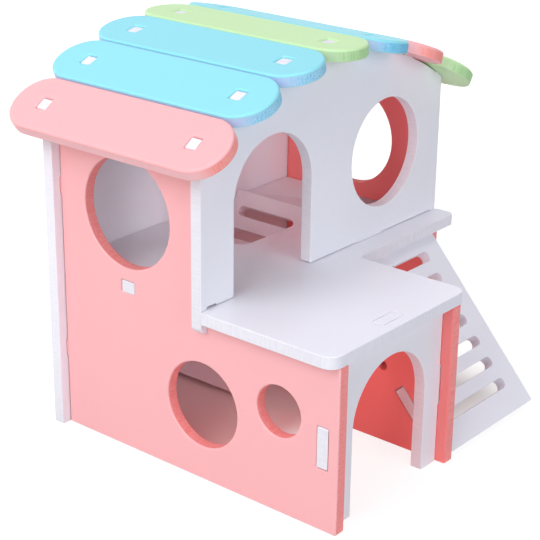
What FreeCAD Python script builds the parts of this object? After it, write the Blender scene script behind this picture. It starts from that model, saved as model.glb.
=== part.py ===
import FreeCAD, Part
import math
import os

# A small animal's house of two storeys, slotted together from flat boards.
# Millimetres. X runs across the front, Y runs from the front to the back, Z is up.
# Sizes are set out from the middle of the width, the front end of the low walls and the ground.
# At the end everything is moved so that the origin is under the middle of the whole house.

# Boards
board = 5.0                     # thickness of every board
play = 0.2                      # gap between a tab or an edge and what it fits
seam = 0.3                      # gap beside a tab, where a wall's edge stops short of a board
house_width = 149.0             # across the outer faces of the two side walls
floor_top = 73.8                # height of the upper floor
ridge_height = 163.6            # height of the middle roof plank's top

# Places along the depth
gable_front = 63.3              # front face of the gable wall
room_depth = 73.7               # inside the upper room, gable wall to back wall
right_wall_front = 59.0         # front edge of the right side wall
front_wall_front = 4.7          # front face of the lower front wall

# Roof of flat planks round an arch
roof_radius = 139.0             # from the arch's centre to the underside of each plank
plank_count = 7
plank_gap = 0.2                 # between the lower edges of neighbouring planks
side_eaves = 12.6               # lower ends of the arch beyond the side walls
eaves = 13.7                    # planks beyond the gable wall and beyond the back wall
roof_tab = 5.4                  # width of the tabs that stand up through the planks
roof_tab_play = 0.3             # gap at each side of such a tab
roof_tab_recess = 0.5           # how far the tabs end below the planks' tops

# Low wall in the middle and balcony
low_wall_right = 3.15           # right face of the low wall
floor_overhang = 4.2            # balcony and strip beyond the walls below them
strip_depth = 10.3              # strip of floor in front of the gable wall
balcony_corner = 5.5            # corner radius
strip_corner = 3.0              # corner radius

# Gable wall and back wall
gable_overhang = 3.5            # gable wall beyond the side walls
back_overhang = 4.0             # back wall beyond the side walls
ear_drop = 9.8                  # gable wall's ears below the floor's top
ear_corner = 3.0                # corner radius of the ears
ear_relief = 1.0                # gap between the gable wall and the floor above the left side wall

# Doors and windows
door_width = 47.2
lower_lintel = 9.5              # board left above the lower door
upper_door_height = 60.2        # above the upper floor
gable_window_radius = 23.6
gable_window_offset = 38.1      # to the right of the middle
gable_window_rise = 35.8        # centre above the upper floor
side_window_radius = 22.85
side_window_rise = 28.4         # centre above the upper floor
side_window_depth = 105.4       # centre from the front end of the left wall
middle_window_radius = 18.0
middle_window_depth = 66.4
middle_window_height = 32.4
small_window_radius = 10.6
small_window_depth = 28.1
small_window_height = 42.5

# Tabs
long_tab = 17.2                 # front wall's side tabs, gable wall's lower tab, ramps' tabs
short_tab = 7.0                 # floor's side tabs and the side walls' rear tabs
balcony_tab = 13.0              # front wall's tab up through the balcony
low_tab_height = 34.3           # centre of the front wall's tabs and the lower rear tabs
high_tab_height = 105.5         # centre of the upper rear tabs

# Ramps
ramp_toe = 4.0                  # outer ramp's lower edge on the ground
ramp_head = 58.0                # outer ramp's top corner, under the strip
ramp_width = 63.6
inner_ramp_toe = -9.3           # inner ramp's lower edge on the ground, from the middle
inner_ramp_run = 47.7           # from that edge to the stairwell's right edge
inner_ramp_inset = 4.5          # between the stairwell's front edge and the ramp
rung_pitch = 10.6
rung_slot = 4.6                 # width of a slot
outer_top_rung = 10.6           # upper end of the outer ramp to the centre of its top slot
inner_top_rung = 9.1            # the same on the inner ramp
foot_margin = 6.0               # least board left below the lowest slot's centre
outer_rung_margin = 10.2        # slot's end to the side of the outer ramp
inner_rung_margin = 4.5         # slot's end to the side of the inner ramp
ramp_tab_start = 15.7           # lower end of a ramp to its tab
pin_hole = 3.8                  # hole through the low wall above the ramp's tab
pin_hole_distance = 44.4        # lower end of the ramp to that hole
pin_hole_rise = 1.2             # underside of the ramp to that hole's centre

# Stairwell
stairwell_front = 96.8
stairwell_width = 53.3
stairwell_corner = 5.0          # corner radius

# Worked out
half_width = house_width / 2
half_room = half_width - board
floor_underside = floor_top - board
gable_back = gable_front + board
back_front = gable_back + room_depth
back_rear = back_front + board
low_wall_left = low_wall_right - board
strip_front = gable_front - strip_depth
floor_half = half_width + floor_overhang
front_wall_middle = (low_wall_left - half_room) / 2
gable_tab_left = (front_wall_middle + door_width / 2 + half_room - long_tab) / 2
gable_tab_right = gable_tab_left + long_tab
floor_tab_front = side_window_depth - short_tab / 2
arch_height = ridge_height - board - roof_radius
plank_turn = 2 * math.asin((half_width + side_eaves) / roof_radius) / plank_count
plank_width = 2 * roof_radius * math.tan(plank_turn / 2) - plank_gap
roof_front = gable_front - eaves
roof_rear = back_rear + eaves
house_middle = roof_rear / 2


# Board cutting. Boards are cut lying flat, with their lower face at Z = 0.

def slab(x1, x2, y1, y2):
    return Part.makeBox(x2 - x1, y2 - y1, board, FreeCAD.Vector(x1, y1, 0))


def disc(x, y, radius):
    return Part.makeCylinder(radius, board, FreeCAD.Vector(x, y, 0))


def slab_with_play(x1, x2, y1, y2):
    return slab(x1 - play, x2 + play, y1 - play, y2 + play)


def doorway(middle, sill, top):
    radius = door_width / 2
    spring = top - radius
    return slab(middle - radius, middle + radius, sill, spring).fuse(disc(middle, spring, radius))


def round_ended(x1, x2, y1, y2):
    # A strip along X with half-round ends
    radius = (y2 - y1) / 2
    middle = (y1 + y2) / 2
    ends = [disc(x1 + radius, middle, radius), disc(x2 - radius, middle, radius)]
    return slab(x1 + radius, x2 - radius, y1, y2).multiFuse(ends)


def rounded_board(corners):
    # Each corner is (x, y, radius). A radius of 0 stays sharp.
    edges = []
    starts = []
    for index, (x, y, radius) in enumerate(corners):
        corner = FreeCAD.Vector(x, y, 0)
        before = FreeCAD.Vector(*corners[index - 1][:2], 0)
        after = FreeCAD.Vector(*corners[(index + 1) % len(corners)][:2], 0)
        to_before = (before - corner).normalize()
        to_after = (after - corner).normalize()
        if radius == 0:
            starts.append((corner, corner))
            continue
        half_angle = to_before.getAngle(to_after) / 2
        bisector = (to_before + to_after).normalize()
        first = corner + to_before * (radius / math.tan(half_angle))
        last = corner + to_after * (radius / math.tan(half_angle))
        middle = corner + bisector * (radius / math.sin(half_angle) - radius)
        edges.append(Part.Arc(first, middle, last).toShape())
        starts.append((first, last))
    for index, (first, last) in enumerate(starts):
        edges.append(Part.makeLine(starts[index - 1][1], first))
    outline = Part.Wire(Part.__sortEdges__(edges))
    return Part.Face(outline).extrude(FreeCAD.Vector(0, 0, board))


# Standing a board up

def stand_across(flat, front):
    # The board's Y becomes Z, and its front face is at the given depth
    flat.rotate(FreeCAD.Vector(0, 0, 0), FreeCAD.Vector(1, 0, 0), 90)
    flat.translate(FreeCAD.Vector(0, front + board, 0))
    return flat


def stand_along(flat, left):
    # The board's X becomes Y and its Y becomes Z, and its left face is at the given X
    flat.rotate(FreeCAD.Vector(0, 0, 0), FreeCAD.Vector(1, 1, 1), 120)
    flat.translate(FreeCAD.Vector(left, 0, 0))
    return flat


# Roof

def roof_underside(x):
    # Lowest plank plane above a place across the house
    heights = []
    for index in range(plank_count):
        turn = (index - (plank_count - 1) / 2) * plank_turn
        heights.append(arch_height + (roof_radius - x * math.sin(turn)) / math.cos(turn))
    return min(heights)


def roof_turns():
    return [math.degrees((index - (plank_count - 1) / 2) * plank_turn) for index in range(plank_count)]


def roof_plank(turn):
    plank = round_ended(roof_front, roof_rear, -plank_width / 2, plank_width / 2)
    half_slot = roof_tab / 2 + roof_tab_play
    for wall_front in (gable_front, back_front):
        slot = slab(wall_front - play, wall_front + board + play, -half_slot, half_slot)
        plank = plank.cut(slot)
    plank.rotate(FreeCAD.Vector(0, 0, 0), FreeCAD.Vector(0, 0, 1), 90)
    plank.translate(FreeCAD.Vector(0, 0, roof_radius))
    plank.rotate(FreeCAD.Vector(0, 0, 0), FreeCAD.Vector(0, 1, 0), turn)
    plank.translate(FreeCAD.Vector(0, 0, arch_height))
    return plank


def arched_board(half, bottom):
    # A wall with an arched top and a row of tabs for the planks
    reach = roof_radius + board
    arch = disc(0, arch_height, roof_radius - play)
    wall = slab(-half, half, bottom, arch_height + reach).common(arch)
    for turn in roof_turns():
        tab = slab(-roof_tab / 2, roof_tab / 2, roof_radius - board, reach - roof_tab_recess)
        tab.rotate(FreeCAD.Vector(0, 0, 0), FreeCAD.Vector(0, 0, 1), -turn)
        tab.translate(FreeCAD.Vector(0, arch_height, 0))
        wall = wall.fuse(tab)
    return wall.removeSplitter()


# Ramps. The outer one leans with its top corner under the strip of floor, and the inner one
# with its underside on the stairwell's right edge.

outer_run = ramp_head - ramp_toe
outer_rise = floor_underside - play
outer_length = math.sqrt(outer_run ** 2 + outer_rise ** 2 - board ** 2)
outer_slope = math.atan2(outer_rise, outer_run) - math.atan2(board, outer_length)
inner_rise = floor_top - play
inner_length = math.hypot(inner_ramp_run, inner_rise)
inner_slope = math.atan2(inner_rise, inner_ramp_run)
stairwell_right = inner_ramp_toe + inner_ramp_run + play
stairwell_left = stairwell_right - stairwell_width


def slotted_ramp(length, width, margin, top_rung):
    # X is across the ramp, Y goes up it, and the tab is on the side at X = 0
    ramp = slab(0, width, 0, length)
    centre = length - top_rung
    while centre > foot_margin:
        slot = round_ended(margin, width - margin, centre - rung_slot / 2, centre + rung_slot / 2)
        ramp = ramp.cut(slot)
        centre -= rung_pitch
    tab = slab(-board, margin / 2, ramp_tab_start, ramp_tab_start + long_tab)
    return ramp.fuse(tab).removeSplitter()


def lean(flat, slope, toe):
    # For a board whose outline is drawn along a ramp: tilts it about the ramp's lower edge
    flat.rotate(FreeCAD.Vector(0, 0, 0), FreeCAD.Vector(0, 0, 1), math.degrees(slope))
    flat.translate(FreeCAD.Vector(toe, 0, 0))
    return flat


def ramp_tab_slot(slope, toe):
    slot = slab_with_play(ramp_tab_start, ramp_tab_start + long_tab, 0, board)
    return lean(slot, slope, toe)


def outer_ramp():
    ramp = slotted_ramp(outer_length, ramp_width - play, outer_rung_margin, outer_top_rung)
    ramp.rotate(FreeCAD.Vector(0, 0, 0), FreeCAD.Vector(1, 0, 0), math.degrees(outer_slope))
    ramp.translate(FreeCAD.Vector(low_wall_right + play, ramp_toe, 0))
    return ramp


def inner_ramp():
    width = back_front - stairwell_front - inner_ramp_inset - play
    ramp = slotted_ramp(inner_length, width, inner_rung_margin, inner_top_rung)
    ramp.rotate(FreeCAD.Vector(0, 0, 0), FreeCAD.Vector(0, 0, 1), -90)
    ramp.rotate(FreeCAD.Vector(0, 0, 0), FreeCAD.Vector(0, 1, 0), -math.degrees(inner_slope))
    ramp.translate(FreeCAD.Vector(inner_ramp_toe, back_front - play, 0))
    return ramp


# Walls

def side_wall(front):
    # Low in front of the gable wall, tall behind it, with two tabs at the rear
    wall_top = roof_underside(half_width) - play
    wall = slab(front, gable_back, 0, floor_underside)
    wall = wall.fuse(slab(gable_back, back_front - seam, 0, wall_top))
    for height in (low_tab_height, high_tab_height):
        tab = slab(back_front - board, back_rear, height - short_tab / 2, height + short_tab / 2)
        wall = wall.fuse(tab)
    wall = wall.cut(disc(side_window_depth, floor_top + side_window_rise, side_window_radius))
    floor_slot = slab_with_play(floor_tab_front, floor_tab_front + short_tab, floor_underside, floor_top)
    return wall.cut(floor_slot).removeSplitter()


def front_wall_slot():
    low = low_tab_height - long_tab / 2
    return slab_with_play(front_wall_front, front_wall_front + board, low, low + long_tab)


def left_side_wall():
    wall = side_wall(0).cut(front_wall_slot())
    wall = wall.cut(disc(middle_window_depth, middle_window_height, middle_window_radius))
    wall = wall.cut(disc(small_window_depth, small_window_height, small_window_radius))
    return stand_along(wall, -half_width)


def right_side_wall():
    return stand_along(side_wall(right_wall_front), half_room)


def low_wall():
    wall = slab(0, gable_back, 0, floor_underside).cut(front_wall_slot())
    wall = wall.cut(ramp_tab_slot(outer_slope, ramp_toe))
    hole = lean(disc(pin_hole_distance, pin_hole_rise, pin_hole / 2), outer_slope, ramp_toe)
    return stand_along(wall.cut(hole), low_wall_left)


def front_wall():
    left = -half_room + play
    right = low_wall_left - play
    wall = slab(left, right, 0, floor_underside)
    low = low_tab_height - long_tab / 2
    wall = wall.fuse(slab(-half_width, low_wall_right, low, low + long_tab))
    half_tab = balcony_tab / 2
    wall = wall.fuse(slab(front_wall_middle - half_tab, front_wall_middle + half_tab, low, floor_top))
    wall = wall.cut(doorway(front_wall_middle, 0, floor_underside - lower_lintel))
    return stand_across(wall.removeSplitter(), front_wall_front)


def gable_wall():
    half = half_width + gable_overhang
    ear_bottom = floor_top - ear_drop
    wall = arched_board(half, ear_bottom)
    wall = wall.cut(slab(-half_width - play, half_width + play, 0, floor_top + seam))
    wall = wall.cut(slab(-half_width - play, -half_room + play, 0, floor_top + ear_relief))
    wall = wall.fuse(slab(gable_tab_left, gable_tab_right, floor_underside, floor_top + board))
    wall = wall.cut(doorway(front_wall_middle, 0, floor_top + upper_door_height))
    window_height = floor_top + gable_window_rise
    wall = wall.cut(disc(gable_window_offset, window_height, gable_window_radius))
    wall = stand_across(wall.removeSplitter(), gable_front)
    return wall.makeFillet(ear_corner, ear_corner_edges(wall, half, ear_bottom))


def ear_corner_edges(wall, half, bottom):
    # The edges along Y at the ears' outer lower corners
    found = []
    for edge in wall.Edges:
        middle = edge.CenterOfMass
        if abs(abs(middle.x) - half) < play / 2 and abs(middle.z - bottom) < play / 2:
            found.append(edge)
    return found


def back_wall():
    wall = arched_board(half_width + back_overhang, 0)
    for left in (-half_width, half_room):
        for height in (low_tab_height, high_tab_height):
            low = height - short_tab / 2
            wall = wall.cut(slab_with_play(left, left + board, low, low + short_tab))
    wall = wall.cut(ramp_tab_slot(inner_slope, inner_ramp_toe))
    return stand_across(wall, back_front)


def floor_board():
    # Balcony on the left, a narrow strip on the right, and the upper room's floor with the stairwell
    room = half_room - play
    edge = half_width
    rear = back_front - play
    corners = [
        (-floor_half, 0, balcony_corner), (low_wall_right + floor_overhang, 0, balcony_corner),
        (low_wall_right + floor_overhang, strip_front, strip_corner),
        (floor_half, strip_front, strip_corner), (floor_half, gable_front - play, 0),
        (edge, gable_front - play, 0), (edge, gable_back, 0), (room, gable_back, 0), (room, rear, 0),
        (stairwell_right, rear, 0), (stairwell_right, stairwell_front, stairwell_corner),
        (stairwell_left, stairwell_front, stairwell_corner), (stairwell_left, rear, 0),
        (-room, rear, 0), (-room, gable_back, 0), (-edge, gable_back, 0),
        (-edge, gable_front - play, 0), (-floor_half, gable_front - play, 0),
    ]
    floor = rounded_board(corners)
    for left, right in ((-half_width, board - room), (room - board, half_width)):
        floor = floor.fuse(slab(left, right, floor_tab_front, floor_tab_front + short_tab))
    half_tab = balcony_tab / 2
    front_slot = slab_with_play(front_wall_middle - half_tab, front_wall_middle + half_tab,
                                front_wall_front, front_wall_front + board)
    gable_slot = slab_with_play(gable_tab_left, gable_tab_right, gable_front, gable_back)
    floor = floor.cut(front_slot).cut(gable_slot).removeSplitter()
    floor.translate(FreeCAD.Vector(0, 0, floor_underside))
    return floor


def save(name, shape):
    shape.translate(FreeCAD.Vector(0, -house_middle, 0))
    shape.exportStep("parts/" + name + ".step")
    print(name, len(shape.Solids), shape.isValid(), round(shape.Volume, 1))


os.makedirs("parts", exist_ok=True)
save("left_side_wall", left_side_wall())
save("right_side_wall", right_side_wall())
save("low_wall", low_wall())
save("back_wall", back_wall())
save("gable_wall", gable_wall())
save("front_wall", front_wall())
save("floor_board", floor_board())
save("outer_ramp", outer_ramp())
save("inner_ramp", inner_ramp())
for number, turn in enumerate(roof_turns(), start=1):
    save("roof_plank_" + str(number), roof_plank(turn))
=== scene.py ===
import bpy
import math
from mathutils import Euler, Matrix, Vector
from mathutils.geometry import tessellate_polygon


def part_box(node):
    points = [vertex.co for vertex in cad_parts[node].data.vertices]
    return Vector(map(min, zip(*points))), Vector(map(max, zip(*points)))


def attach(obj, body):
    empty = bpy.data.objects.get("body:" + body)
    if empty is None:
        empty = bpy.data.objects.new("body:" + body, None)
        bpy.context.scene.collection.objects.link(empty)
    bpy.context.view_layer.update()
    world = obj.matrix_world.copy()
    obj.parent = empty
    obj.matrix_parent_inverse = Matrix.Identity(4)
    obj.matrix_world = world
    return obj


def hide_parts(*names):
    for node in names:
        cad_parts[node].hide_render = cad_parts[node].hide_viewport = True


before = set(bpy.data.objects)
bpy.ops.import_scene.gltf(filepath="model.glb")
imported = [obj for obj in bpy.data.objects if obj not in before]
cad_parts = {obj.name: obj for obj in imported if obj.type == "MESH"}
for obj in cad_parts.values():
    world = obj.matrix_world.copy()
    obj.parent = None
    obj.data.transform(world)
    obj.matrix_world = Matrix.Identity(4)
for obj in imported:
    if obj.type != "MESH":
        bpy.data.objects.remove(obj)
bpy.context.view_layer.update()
print("frame loaded:", len(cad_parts), "boards")

mm = 0.001                    # in metres, as the frame is


def linearColour(code):
    # sRGB hex to the linear values that the shaders and lamps take
    parts = [int(code[i:i + 2], 16) / 255 for i in (1, 3, 5)]
    return (*[p / 12.92 if p <= 0.04045 else ((p + 0.055) / 1.055) ** 2.4 for p in parts], 1)


def addNode(tree, kind, settings=None, links=None):
    # A setting is a property of the node where it has one of that name, and otherwise an input
    node = tree.nodes.new(kind)
    for name, value in (settings or {}).items():
        if isinstance(name, str) and hasattr(node, name):
            setattr(node, name, value)
        else:
            node.inputs[name].default_value = value
    for name, source in (links or {}).items():
        tree.links.new(source, node.inputs[name])
    return node


def newMaterial(name):
    material = bpy.data.materials.new(name)
    material.use_nodes = True
    material.node_tree.nodes.clear()
    return material, material.node_tree


camera = {
    "place": (-0.46549, -0.36977, 0.30117),   # metres, left of the house, in front of it and above
    "turn": (68.143, -0.655, -50.239),        # degrees
    "lens": 101.256,                          # mm
    "sees": (0.01, 20),                       # metres, the nearest and the farthest that it shows
}


def makeCamera():
    data = bpy.data.cameras.new("camera")
    data.lens = camera["lens"]
    data.clip_start, data.clip_end = camera["sees"]
    item = bpy.data.objects.new("camera", data)
    item.location = camera["place"]
    item.rotation_euler = Euler([math.radians(angle) for angle in camera["turn"]], "XYZ")
    bpy.context.scene.collection.objects.link(item)
    bpy.context.scene.camera = item


makeCamera()
print("camera placed")


# The house is cut from sheets of foamed PVC, coloured right through

rolledSkin = {
    "ior": 1.53,              # hard PVC
    "roughness": 0.46,        # calendered PVC skin is satin
    "roughnessSpread": 0.05,  # up and down with the grain
    "grain": 0.6,             # mm. The real grain is about 0.2 mm, too fine to show, so it is drawn coarser
    "grainDetail": 2,
    "grainDepth": 0.006,      # mm
    "cloud": 16.0,            # mm, size of the faint unevenness of the colour
    "cloudDetail": 3,
    "cloudShade": 0.015,      # how far it darkens and lightens
}

routedEdge = {
    "ior": 1.53,
    "roughness": 0.75,        # opened foam cells are matt
    "cell": 0.7,              # mm. Real cells are about 0.3 mm, too fine to show, so they are drawn coarser
    "cellDetail": 1,
    "cellShare": 0.35,        # how far the cells show, and not the marks
    "chatter": 0.7,           # mm between the marks that the router leaves across the edge
    "chatterLength": 7.0,     # mm along the cutter
    "chatterDetail": 2,
    "pitted": (0.35, 0.6),    # noise from which the colour goes from the pits' to the cut's
    "depth": 0.02,            # mm
    "depthShown": 0.8,        # how strongly that depth shows
    "paintedHighlightFrom": 0.45,         # how far an edge turns to a plank's side before it takes the painted highlight
}


def calenderedFace(name, colour):
    # Foamed PVC sheet, calendered: a smooth closed skin with a soft satin sheen and hardly any grain
    material, tree = newMaterial(name)
    place = addNode(tree, "ShaderNodeTexCoord")
    cloud = addNode(tree, "ShaderNodeTexNoise",
                    {"Scale": 1 / (rolledSkin["cloud"] * mm), "Detail": rolledSkin["cloudDetail"]},
                    {"Vector": place.outputs["Object"]})
    shade = addNode(tree, "ShaderNodeMapRange",
                    {"To Min": 1 - rolledSkin["cloudShade"], "To Max": 1 + rolledSkin["cloudShade"]},
                    {"Value": cloud.outputs["Fac"]})
    tint = addNode(tree, "ShaderNodeHueSaturation", {"Color": linearColour(colour)},
                   {"Value": shade.outputs["Result"]})
    grain = addNode(tree, "ShaderNodeTexNoise",
                    {"Scale": 1 / (rolledSkin["grain"] * mm), "Detail": rolledSkin["grainDetail"]},
                    {"Vector": place.outputs["Object"]})
    sheen = addNode(tree, "ShaderNodeMapRange",
                    {"To Min": rolledSkin["roughness"] - rolledSkin["roughnessSpread"],
                     "To Max": rolledSkin["roughness"] + rolledSkin["roughnessSpread"]},
                    {"Value": grain.outputs["Fac"]})
    relief = addNode(tree, "ShaderNodeBump", {"Distance": rolledSkin["grainDepth"] * mm, "Strength": 1},
                     {"Height": grain.outputs["Fac"]})
    shader = addNode(tree, "ShaderNodeBsdfPrincipled", {"IOR": rolledSkin["ior"]},
                     {"Base Color": tint.outputs["Color"], "Roughness": sheen.outputs["Result"],
                      "Normal": relief.outputs["Normal"]})
    addNode(tree, "ShaderNodeOutputMaterial", {}, {"Surface": shader.outputs["BSDF"]})
    return material


def routedCut(name, colour, pitColour, paintedHighlightColour, cellShare):
    # Foamed PVC, routed: fine cutter marks across the edge and opened cells, which look matt and deeper in
    # colour than the skin. A plank's two long edges, which face its own Y, are painted paler: a painted
    # highlight for the light that they catch, and on the blue planks painted pink light as well.
    material, tree = newMaterial(name)
    place = addNode(tree, "ShaderNodeTexCoord")
    along = addNode(tree, "ShaderNodeMapping",
                    {"Scale": (1, 1, routedEdge["chatter"] / routedEdge["chatterLength"])},
                    {"Vector": place.outputs["Object"]})
    marks = addNode(tree, "ShaderNodeTexNoise",
                    {"Scale": 1 / (routedEdge["chatter"] * mm), "Detail": routedEdge["chatterDetail"]},
                    {"Vector": along.outputs["Vector"]})
    cells = addNode(tree, "ShaderNodeTexNoise",
                    {"Scale": 1 / (routedEdge["cell"] * mm), "Detail": routedEdge["cellDetail"]},
                    {"Vector": place.outputs["Object"]})
    both = addNode(tree, "ShaderNodeMix", {"Factor": cellShare},
                   {"A": marks.outputs["Fac"], "B": cells.outputs["Fac"]})
    ramp = addNode(tree, "ShaderNodeValToRGB", {}, {"Fac": both.outputs["Result"]})
    for stop, position, shade in zip(ramp.color_ramp.elements, routedEdge["pitted"], (pitColour, colour)):
        stop.position = position
        stop.color = linearColour(shade)
    colouring = ramp.outputs["Color"]
    # The long edges that face the plank's sides are painted paler, a painted highlight
    if paintedHighlightColour:
        facing = addNode(tree, "ShaderNodeSeparateXYZ", {}, {"Vector": place.outputs["Normal"]})
        sideways = addNode(tree, "ShaderNodeMath", {"operation": "ABSOLUTE"}, {0: facing.outputs["Y"]})
        paintedHighlight = addNode(tree, "ShaderNodeMapRange",
                       {"interpolation_type": "SMOOTHSTEP",
                        "From Min": routedEdge["paintedHighlightFrom"], "From Max": 1},
                       {"Value": sideways.outputs["Value"]})
        colouring = addNode(tree, "ShaderNodeMixRGB", {"Color2": linearColour(paintedHighlightColour)},
                            {"Fac": paintedHighlight.outputs["Result"], "Color1": colouring}).outputs["Color"]
    relief = addNode(tree, "ShaderNodeBump",
                     {"Distance": routedEdge["depth"] * mm, "Strength": routedEdge["depthShown"]},
                     {"Height": both.outputs["Result"]})
    shader = addNode(tree, "ShaderNodeBsdfPrincipled",
                     {"IOR": routedEdge["ior"], "Roughness": routedEdge["roughness"]},
                     {"Base Color": colouring, "Normal": relief.outputs["Normal"]})
    addNode(tree, "ShaderNodeOutputMaterial", {}, {"Surface": shader.outputs["BSDF"]})
    return material


# Each sheet's colours: its skin, a deeper skin for the faces that look into the house, which is painted
# shade, its cut, the cut's pits and a paler colour for the long edges of its roof planks, which is a painted
# highlight.
# A cellShare here stands for routedEdge's own. The slot is the group in which the sheets are recoloured.
sheetColours = {
    # inside: a deeper pink for the faces in the rooms, painted shade
    "wallPink": {"slot": "pink_board", "skin": "#FFBBBD", "inside": "#FF8784",
                 "cut": "#FFA19E", "pit": "#FA8986", "cellShare": 0.6},
    # paintedHighlight: the paler long edges of a roof plank, a painted highlight
    "roofPink": {"slot": "pink_board", "skin": "#FFB4B6",
                 "cut": "#FFA8A2", "pit": "#FF948B", "paintedHighlight": "#FFC9CC"},
    "white": {"slot": "white_board", "skin": "#F0EFF6", "cut": "#F0EFF6", "pit": "#EAE9F0"},
    "lightBlue": {"slot": "light_blue_board", "skin": "#90DFEC",
                  "cut": "#A8DEF3", "pit": "#84C6EC", "paintedHighlight": "#BCD2F2", "cellShare": 0.7},
    # The fifth plank: the same light blue, with its cut painted darker, as painted shade on its ends
    "lightBlueWithPaintedShade": {"slot": "light_blue_board", "skin": "#90DFEC",
                 "cut": "#87D1EC", "pit": "#66B9E6", "paintedHighlight": "#BCD2F2", "cellShare": 0.7},
    "green": {"slot": "green_board", "skin": "#C8EBB2",
              "cut": "#BCE2A9", "pit": "#A4D191", "paintedHighlight": "#C4E2B2"},
}
sheets = {}
for sheet, colours in sheetColours.items():
    sheets[sheet] = {
        "outside": calenderedFace("calenderedFoamedPvc_" + sheet, colours["skin"]),
        "cut": routedCut("routedFoamedPvc_" + sheet, colours["cut"], colours["pit"], colours.get("paintedHighlight"),
                         colours.get("cellShare", routedEdge["cellShare"])),
    }
    sheets[sheet]["inside"] = sheets[sheet]["outside"]
    # A sheet's deeper skin for the faces inside the house is painted shade
    if "inside" in colours:
        sheets[sheet]["inside"] = calenderedFace("calenderedFoamedPvcInside_" + sheet, colours["inside"])
print("materials made:", len(bpy.data.materials))


# Each board is cut flat in its own frame, with Z through its thickness, and stands where its node is

cutting = {
    "shownSide": (-0.6, -0.7, 1.1),   # a board's upper face looks to the left, to the front or up
    "level": 0.001,           # a board whose normal leans less than this lies level
    "upwards": 0.99,          # how far a face's normal points up, at least, on the upper face
    "flat": 0.01,             # mm. The upper face's corners are no more than this below the top
    "straight": 0.1,          # degrees. An outline that turns less than this goes straight on
    "curve": 25,              # degrees. One that turns less than this is a curve and has no corner
    "share": 0.45,            # the most of a side that a corner's rounding takes
    "steps": 3,               # facets of a rounded arris or corner
}


def boardFrame(node):
    # Turns the flat board to its place. Z is the normal of its two large faces, and X is level and runs
    # along a roof plank.
    areas = {}
    for face in node.data.polygons:
        normal = face.normal if face.normal.dot(Vector(cutting["shownSide"])) > 0 else -face.normal
        key = tuple(round(part, 2) for part in normal)   # faces that look the same way count together
        area, total = areas.get(key, (0, Vector()))
        areas[key] = (area + face.area, total + normal * face.area)
    up = max(areas.values(), key=lambda item: item[0])[1].normalized()
    across = Vector((0, 0, 1)).cross(up)
    across = Vector((0, 1, 0)) if across.length < cutting["level"] else across.normalized()
    turn = Matrix((across, up.cross(across), up)).transposed().to_4x4()
    middle = sum((Vector(corner) for corner in node.bound_box), Vector()) / 8
    return Matrix.Translation(middle) @ turn


def boardOutlines(node, place):
    # The outer outline of the board's upper face and its holes, with the board always on the left
    back = place.inverted()
    points = [back @ vertex.co for vertex in node.data.vertices]
    top = max(point.z for point in points)
    bottom = min(point.z for point in points)
    keys = [(round(point.x / mm, 3), round(point.y / mm, 3)) for point in points]   # to the micrometre
    turned = back.to_3x3()
    edges = set()
    for face in node.data.polygons:
        upwards = (turned @ face.normal).z > cutting["upwards"]
        if upwards and all(points[index].z > top - cutting["flat"] * mm for index in face.vertices):
            ring = [keys[index] for index in face.vertices]
            edges.update(zip(ring, ring[1:] + ring[:1]))
    following = {start: end for start, end in edges if (end, start) not in edges}   # those on the outlines
    outlines = []
    while following:
        start, end = following.popitem()
        outline = [start]
        while end != start:
            outline.append(end)
            end = following.pop(end)
        outlines.append([Vector(point) for point in outline])
    return outlines, bottom / mm, top / mm


def bend(before, point, after):
    # The outline's turn at a point, to the left, and the way out of the board there
    first = (point - before).normalized()
    second = (after - point).normalized()
    turn = math.atan2(first.x * second.y - first.y * second.x, first.dot(second))
    out = Vector((first.y + second.y, -first.x - second.x)).normalized()
    return first, second, turn, out


def softenOutline(outline, corner, arris):
    # Rounds each sharp corner, and gives each point with its way out and its offset's stretch. A corner that
    # sticks out with no room for a radius as large as the arris stays sharp.
    softened = []
    count = len(outline)
    for index, point in enumerate(outline):
        before, after = outline[index - 1], outline[(index + 1) % count]
        first, second, turn, out = bend(before, point, after)
        if abs(turn) < math.radians(cutting["straight"]):
            continue
        room = cutting["share"] * min((point - before).length, (after - point).length)
        cut = min(corner * math.tan(abs(turn) / 2), room)
        radius = cut / math.tan(abs(turn) / 2)
        if abs(turn) < math.radians(cutting["curve"]) or turn > 0 and radius < arris:
            softened.append((point, out, 1 / math.cos(turn / 2)))
            continue
        side = 1 if turn > 0 else -1
        centre = point - first * cut + Vector((-first.y, first.x)) * radius * side
        for step in range(cutting["steps"] + 1):
            angle = turn * step / cutting["steps"]
            way = Vector((first.y, -first.x))
            way = Vector((way.x * math.cos(angle) - way.y * math.sin(angle),
                          way.x * math.sin(angle) + way.y * math.cos(angle)))
            softened.append((centre + way * radius * side, way, 1))
    return softened


def edgeProfile(finish, top, bottom):
    # Inset, height and slope of the way out, from the upper face over both arrises to the lower face
    angles = [math.pi / 2 * step / cutting["steps"] for step in range(cutting["steps"] + 1)]
    upper, lower = finish["topArris"], finish["lowArris"]
    profile = [(upper * (1 - math.sin(angle)), top - upper * (1 - math.cos(angle)), math.pi / 2 - angle)
               for angle in angles]
    profile += [(lower * (1 - math.cos(angle)), bottom + lower * (1 - math.sin(angle)), -angle)
                for angle in angles]
    return profile


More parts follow.
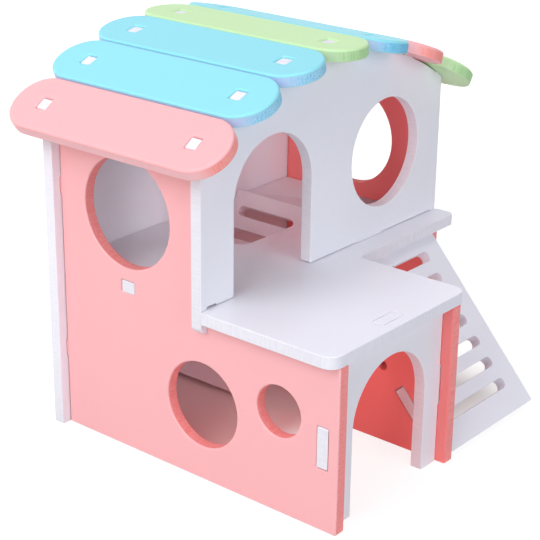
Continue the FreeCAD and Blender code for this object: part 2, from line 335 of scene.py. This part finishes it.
def cutBoard(node, name, finish):
    place = boardFrame(node)
    outlines, bottom, top = boardOutlines(node, place)
    arris = max(finish["topArris"], finish["lowArris"])
    outlines = [softenOutline(outline, finish["corner"], arris) for outline in outlines]
    profile = edgeProfile(finish, top, bottom)
    sheetParts = ("outside", "inside", "cut")
    outside, inside, cut = range(len(sheetParts))
    rings = [outside] * cutting["steps"] + [cut] + [inside] * cutting["steps"]   # materials down the edge
    vertices, normals, faces, slots, loops = [], [], [], [], []
    for outline in outlines:
        count = len(outline)
        start = len(vertices)
        for inset, height, slope in profile:
            for point, out, stretch in outline:
                moved = point - out * inset * stretch
                vertices.append(Vector((moved.x, moved.y, height)) * mm)
                normals.append(Vector((out.x * math.cos(slope), out.y * math.cos(slope), math.sin(slope))))
        for ring, slot in enumerate(rings):
            for index in range(count):
                a, b = start + ring * count + index, start + ring * count + (index + 1) % count
                faces.append((a, a + count, b + count, b))
                slots.append(slot)
        loops.append((start, count))
    for ring, slot in ((0, outside), (len(rings), inside)):
        numbers = [range(start + ring * count, start + (ring + 1) * count) for start, count in loops]
        flat = [number for loop in numbers for number in loop]
        for triangle in tessellate_polygon([[vertices[number] for number in loop] for loop in numbers]):
            corners = [flat[index] for index in triangle]
            a, b, c = [vertices[number] for number in corners]
            if ((b - a).cross(c - a).z > 0) != (slot == outside):
                corners.reverse()
            faces.append(corners)
            slots.append(slot)
    mesh = bpy.data.meshes.new(name)
    mesh.from_pydata(vertices, [], faces)
    for sheetPart in sheetParts:
        mesh.materials.append(sheets[finish["sheet"]][finish.get(sheetPart, sheetPart)])
    mesh.polygons.foreach_set("material_index", slots)
    mesh.polygons.foreach_set("use_smooth", [True] * len(faces))
    mesh.update()
    mesh.normals_split_custom_set_from_vertices(normals)
    piece = bpy.data.objects.new(name, mesh)
    piece.matrix_world = place
    bpy.context.scene.collection.objects.link(piece)
    return piece


def replaceBoard(nodeName, finish):
    piece = cutBoard(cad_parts[nodeName], nodeName + "_board", finish)
    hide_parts(nodeName)
    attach(piece, "root")


# Arrises and corners are in millimetres. The right side wall and the low wall turn their upper face into the
# house, and both faces of the low wall are inside. The pink faces inside the house take a deeper pink, which
# is painted shade.
pinkWall = {"sheet": "wallPink", "topArris": 0.6, "lowArris": 0.25, "corner": 0.8}
whiteBoard = {"sheet": "white", "topArris": 0.25, "lowArris": 0.25, "corner": 0.8}
walls = {
    "left_side_wall": pinkWall,
    "right_side_wall": {**pinkWall, "outside": "inside", "inside": "outside"},
    "low_wall": {**pinkWall, "outside": "inside"},
    "back_wall": whiteBoard,
    "gable_wall": whiteBoard,
    "front_wall": whiteBoard,
    "floor_board": whiteBoard,
    "outer_ramp": whiteBoard,
    "inner_ramp": whiteBoard,
}
for nodeName, finish in walls.items():
    replaceBoard(nodeName, finish)
print("walls, floor and ramps made:", len(walls))

roofPlanks = {
    # From the left to the right
    "sheets": ["roofPink", "lightBlue", "lightBlue", "green", "lightBlueWithPaintedShade", "roofPink", "green"],
    "topArris": 1.0,          # mm, softer than the walls' arrises
    "lowArris": 0.3,
    "corner": 0.8,
}
for number, sheet in enumerate(roofPlanks["sheets"], start=1):
    replaceBoard("roof_plank_" + str(number), {**roofPlanks, "sheet": sheet})
print("roof planks made:", len(roofPlanks["sheets"]))


studio = {
    "skyStrength": 0.13,      # the plain light from all sides
    "skyColour": "#F7F3FF",
    "white": "#FFFFFF",
    "paper": "#B3B3B3",       # what light the floor throws back
    "seenPaper": "#919191",   # what of it the camera sees, so that the shadow is faint
    "seenGlow": 0.82,         # what lifts the seen floor to white
    "glowFade": (0.3, 1.0),   # metres, from the house's own shadow to floor that is all white
    "floorHalf": 4.0,         # metres
    "floorDrop": 0.0001,      # metres below the boards' feet, so that no face lies in another
    "fieldReach": 0.07,       # metres that a field goes beyond the gable wall and the right wall
    "aim": (0, 0, 0.08),      # metres, the house's middle, at which the softboxes look
}


def seenWhite(tree):
    # 1 where the camera looks, straight on or by gloss or glass, and 0 for the light on the house
    path = addNode(tree, "ShaderNodeLightPath")
    seen = path.outputs["Is Camera Ray"]
    for ray in ("Is Glossy Ray", "Is Transmission Ray"):
        seen = addNode(tree, "ShaderNodeMath", {"operation": "MAXIMUM"},
                       {0: seen, 1: path.outputs[ray]}).outputs["Value"]
    return seen


def makeStudio():
    world = bpy.data.worlds.new("studio")
    world.use_nodes = True
    tree = world.node_tree
    tree.nodes.clear()
    light = addNode(tree, "ShaderNodeBackground",
                    {"Color": linearColour(studio["skyColour"]), "Strength": studio["skyStrength"]})
    white = addNode(tree, "ShaderNodeBackground", {"Color": linearColour(studio["white"]), "Strength": 1})
    mixed = addNode(tree, "ShaderNodeMixShader", {},
                    {0: seenWhite(tree), 1: light.outputs["Background"], 2: white.outputs["Background"]})
    addNode(tree, "ShaderNodeOutputWorld", {}, {"Surface": mixed.outputs["Shader"]})
    bpy.context.scene.world = world


def paperMaterial(name, field=None):
    # White paper, matt, with no grain that shows: a clean floor with a faint shadow. It is plain in a field
    # under the house, and elsewhere the camera sees it lifted to white.
    material, tree = newMaterial(name)
    paper = addNode(tree, "ShaderNodeBsdfDiffuse",
                    {"Color": linearColour(field["colour"] if field else studio["paper"])})
    pale = addNode(tree, "ShaderNodeBsdfDiffuse", {"Color": linearColour(studio["seenPaper"])})
    place = addNode(tree, "ShaderNodeTexCoord")
    distance = addNode(tree, "ShaderNodeVectorMath", {"operation": "LENGTH"}, {0: place.outputs["Object"]})
    near, far = studio["glowFade"]
    fade = addNode(tree, "ShaderNodeMapRange",
                   {"From Min": near, "From Max": far, "To Min": studio["seenGlow"], "To Max": 1},
                   {"Value": distance.outputs["Value"]})
    glow = addNode(tree, "ShaderNodeEmission", {"Color": linearColour(studio["white"])},
                   {"Strength": fade.outputs["Result"]})
    lifted = addNode(tree, "ShaderNodeAddShader", {}, {0: pale.outputs["BSDF"], 1: glow.outputs["Emission"]})
    amount = seenWhite(tree)
    if field:
        axes = addNode(tree, "ShaderNodeSeparateXYZ", {}, {"Vector": place.outputs["Object"]})
        links = {}
        for axis, start, end in field["whiteTowards"]:
            links["Value"] = axes.outputs[axis]
            white = addNode(tree, "ShaderNodeMapRange",
                            {"interpolation_type": "SMOOTHSTEP",
                             "From Min": start * mm, "From Max": end * mm, "To Min": field["white"]}, links)
            links = {"To Min": white.outputs["Result"]}
        amount = addNode(tree, "ShaderNodeMath", {"operation": "MULTIPLY"},
                         {0: amount, 1: white.outputs["Result"]}).outputs["Value"]
    mixed = addNode(tree, "ShaderNodeMixShader", {},
                    {0: amount, 1: paper.outputs["BSDF"], 2: lifted.outputs["Shader"]})
    addNode(tree, "ShaderNodeOutputMaterial", {}, {"Surface": mixed.outputs["Shader"]})
    return material


# The floor is a sheet cut into fields, whose borders lie under the walls. Those under the house and under the
# outer ramp have paper of their own: under the house a pink one, painted pink light from the walls, and under
# the ramp a paler one, painted light that thins the ramp's shadow.
fields = {
    "paperUnderHousePaintedPinkLight": {
        "at": [(1, 1), (2, 1), (2, 2)],    # row from the front and column from the left, from 0
        # a pink tint, painted pink light from the walls on the ground in the rooms
        "colour": "#F0E0DE",
        "white": 0.0,                      # how white the camera sees it
        "whiteTowards": [("Y", -8, -34)],  # mm, where it fades to the white around it
    },
    "paperUnderRampPaintedLight": {
        "at": [(1, 2), (1, 3)],
        # a paler paper, painted light that thins the shadow under the ramp
        "colour": "#E8E5E2",
        "white": 0.25,
        "whiteTowards": [("Y", -50, -75), ("X", 55, 95)],
    },
}


def middleOf(nodeName):
    return [(low + high) / 2 for low, high in zip(*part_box(nodeName))]


def makeFloor():
    far, reach = studio["floorHalf"], studio["fieldReach"]
    gable = middleOf("gable_wall")[1]
    right = middleOf("right_side_wall")[0]
    across = [-far, middleOf("left_side_wall")[0], middleOf("low_wall")[0], right, right + reach, far]
    along = [-far, gable - reach, gable, middleOf("back_wall")[1], far]
    vertices = [(x, y, 0) for y in along for x in across]
    columns = len(across)
    faces = {}
    for row in range(len(along) - 1):
        for column in range(columns - 1):
            corner = row * columns + column
            faces[row, column] = (corner, corner + 1, corner + columns + 1, corner + columns)
    mesh = bpy.data.meshes.new("floor")
    mesh.from_pydata(vertices, [], list(faces.values()))
    mesh.materials.append(paperMaterial("whiteSweepPaper"))
    for name, field in fields.items():
        mesh.materials.append(paperMaterial(name, field))
        for place in field["at"]:
            mesh.polygons[list(faces).index(place)].material_index = len(mesh.materials) - 1
    floor = bpy.data.objects.new("floor", mesh)
    floor.location.z = -studio["floorDrop"]
    bpy.context.scene.collection.objects.link(floor)


# Places, aims and sizes are in metres. The right and the rear softboxes only fill, so they leave no gloss.
lamps = {
    "softboxFront": {"place": (-0.3, -1.5, 0.5), "size": 1.0, "watts": 11.0, "colour": "#F3F9FF"},
    "softboxAbove": {"place": (-0.1, 0.0, 1.6), "size": 1.2, "watts": 8.9, "colour": "#FCF9FF"},
    "softboxHighLeft": {"place": (-1.1, -0.1, 1.1), "size": 0.9, "watts": 6.1, "colour": "#F9FCFF"},
    "softboxLowLeft": {"place": (-1.2, -0.2, 0.27), "size": 0.5, "watts": 3.4, "colour": "#FFFCF9"},
    "softboxCloseLeft": {"place": (-0.55, 0.25, 0.5), "size": 0.4, "watts": 1.3, "colour": "#FCFCFF"},
    "softboxRight": {"place": (1.4, 0.55, 0.25), "size": 0.9, "watts": 13.0, "colour": "#FFFFFF",
                     "gloss": False},
    "softboxRear": {"place": (-0.1, 1.5, 0.25), "size": 0.9, "watts": 12.0, "colour": "#FFFFFF",
                    "gloss": False},
    # The light that the thin pink boards let through into the rooms
    "lowerGlow": {"place": (-0.0675, -0.03, 0.034), "aim": (0, -0.03, 0.034), "size": 0.05,
                  "watts": 0.0118, "colour": "#FFA8A2"},
    "roofGlow": {"place": (0.0, 0.005, 0.128), "aim": (0.06, 0.025, 0.09), "size": 0.04,
                 "watts": 0.0086, "colour": "#FF96A0"},
    "rightWallGlow": {"place": (0.03, -0.005, 0.05), "aim": (0.07, -0.005, 0.05), "size": 0.04,
                      "watts": 0.0046, "colour": "#FFCCC8"},
}


def makeLamps():
    for name, lamp in lamps.items():
        data = bpy.data.lights.new(name, "AREA")
        data.size = lamp["size"]
        data.energy = lamp["watts"]
        data.color = linearColour(lamp["colour"])[:3]
        item = bpy.data.objects.new(name, data)
        item.location = lamp["place"]
        aim = Vector(lamp.get("aim", studio["aim"])) - Vector(lamp["place"])
        item.rotation_euler = aim.to_track_quat("-Z", "Y").to_euler()
        item.visible_camera = False
        item.visible_glossy = lamp.get("gloss", True)
        bpy.context.scene.collection.objects.link(item)


makeStudio()
makeFloor()
makeLamps()
bpy.context.scene.view_settings.view_transform = "Standard"
print("studio made")
